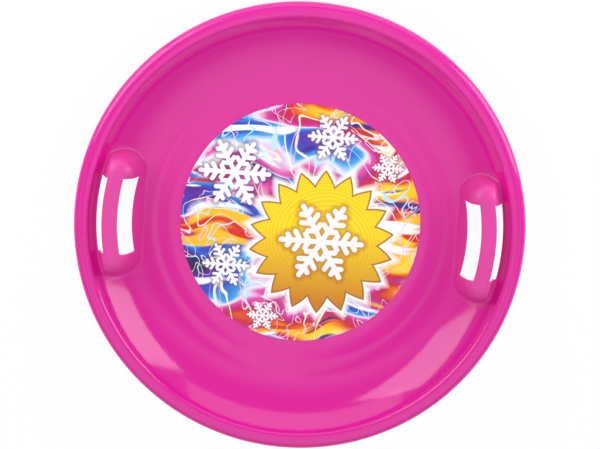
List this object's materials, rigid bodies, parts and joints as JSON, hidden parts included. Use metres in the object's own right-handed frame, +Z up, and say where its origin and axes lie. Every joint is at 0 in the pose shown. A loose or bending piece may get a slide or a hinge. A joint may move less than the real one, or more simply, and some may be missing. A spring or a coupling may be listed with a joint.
{
  "type": "saucer sled",
  "caption": "Round moulded plastic saucer sled with a shallow bowl, rolled rim, raised slotted grips on opposite sides and a round printed label on the floor, for sliding on snow.",
  "frame": {"origin": "centre of the flat underside of the floor, where the sled rests", "axes": "+Z up out of the bowl, the grips on +X and -X, +Y forward"},
  "size_m": [0.6, 0.6, 0.0685],
  "materials": {
    "pink_polyethylene": "glossy injection-moulded polyethylene in hot pink",
    "printed_film": "clear-coated printed film, many colours on white"
  },
  "bodies": {
    "root": {"saucer_shell": "pink_polyethylene", "centre_label": "printed_film"}
  },
  "joints": []
}
